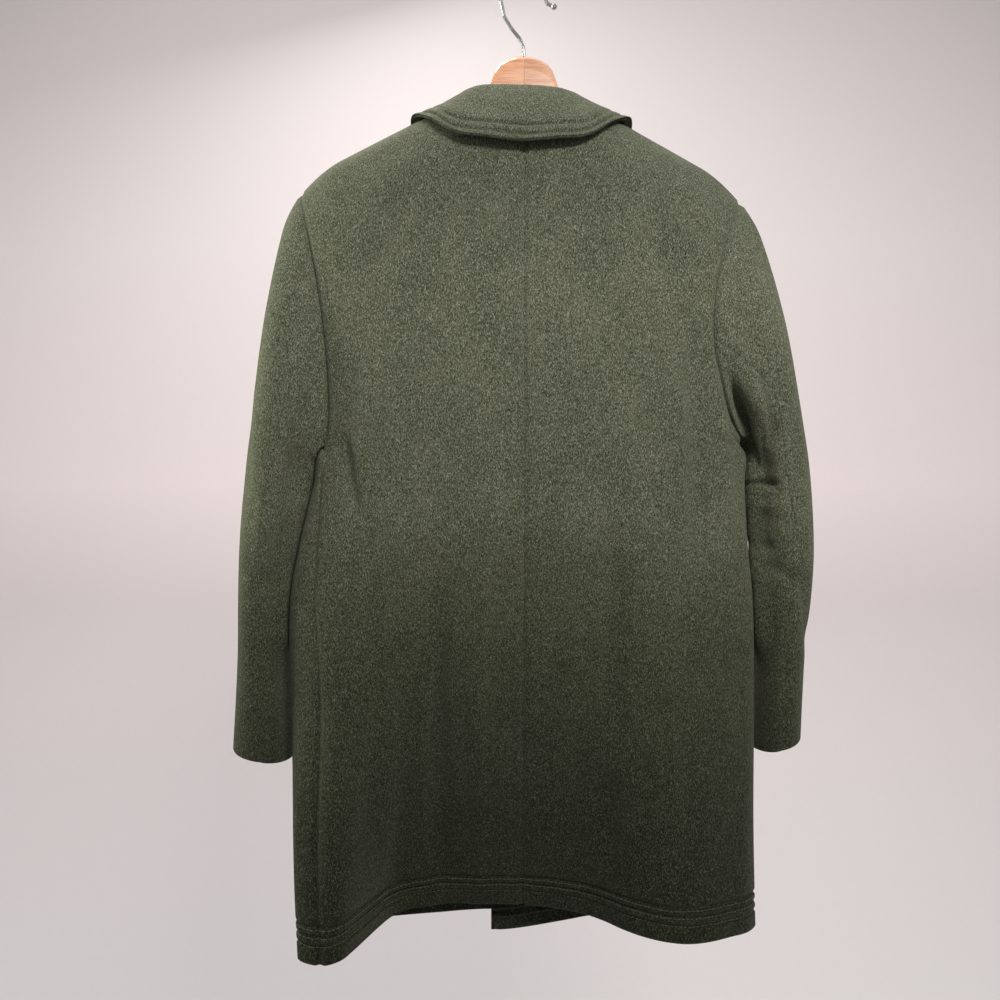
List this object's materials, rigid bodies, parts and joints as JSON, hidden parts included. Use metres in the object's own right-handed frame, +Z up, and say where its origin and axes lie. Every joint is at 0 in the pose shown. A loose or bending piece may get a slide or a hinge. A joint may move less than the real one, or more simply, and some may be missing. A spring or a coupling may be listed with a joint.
{
  "type": "loden coat on a wooden hanger",
  "caption": "Men's dark olive loden topcoat, plain cuffs and a small turned-down collar, buttoned, hung on a pale wooden hanger with a wire hook.",
  "frame": {"origin": "the inside of the hook's crown, where the hanger rests on what it hangs from", "axes": "+X is the wearer's right, -Y is the coat's back and +Y its front, +Z is up"},
  "size_m": [0.641, 0.1423, 1.0749],
  "materials": {
    "loden": "milled wool cloth with a soft nap",
    "horn": "polished horn",
    "lotus_wood": "satin varnish",
    "hook_steel": "bright wire"
  },
  "bodies": {
    "root": {"back_left": "loden", "back_right": "loden", "front_left": "loden", "front_right": "loden", "top_sleeve_left": "loden", "under_sleeve_left": "loden", "top_sleeve_right": "loden", "under_sleeve_right": "loden", "collar": "loden", "button_1": "horn", "button_2": "horn", "button_3": "horn", "button_4": "horn", "hanger_left": "lotus_wood", "hanger_right": "lotus_wood", "hanger_hook": "hook_steel"}
  },
  "joints": []
}
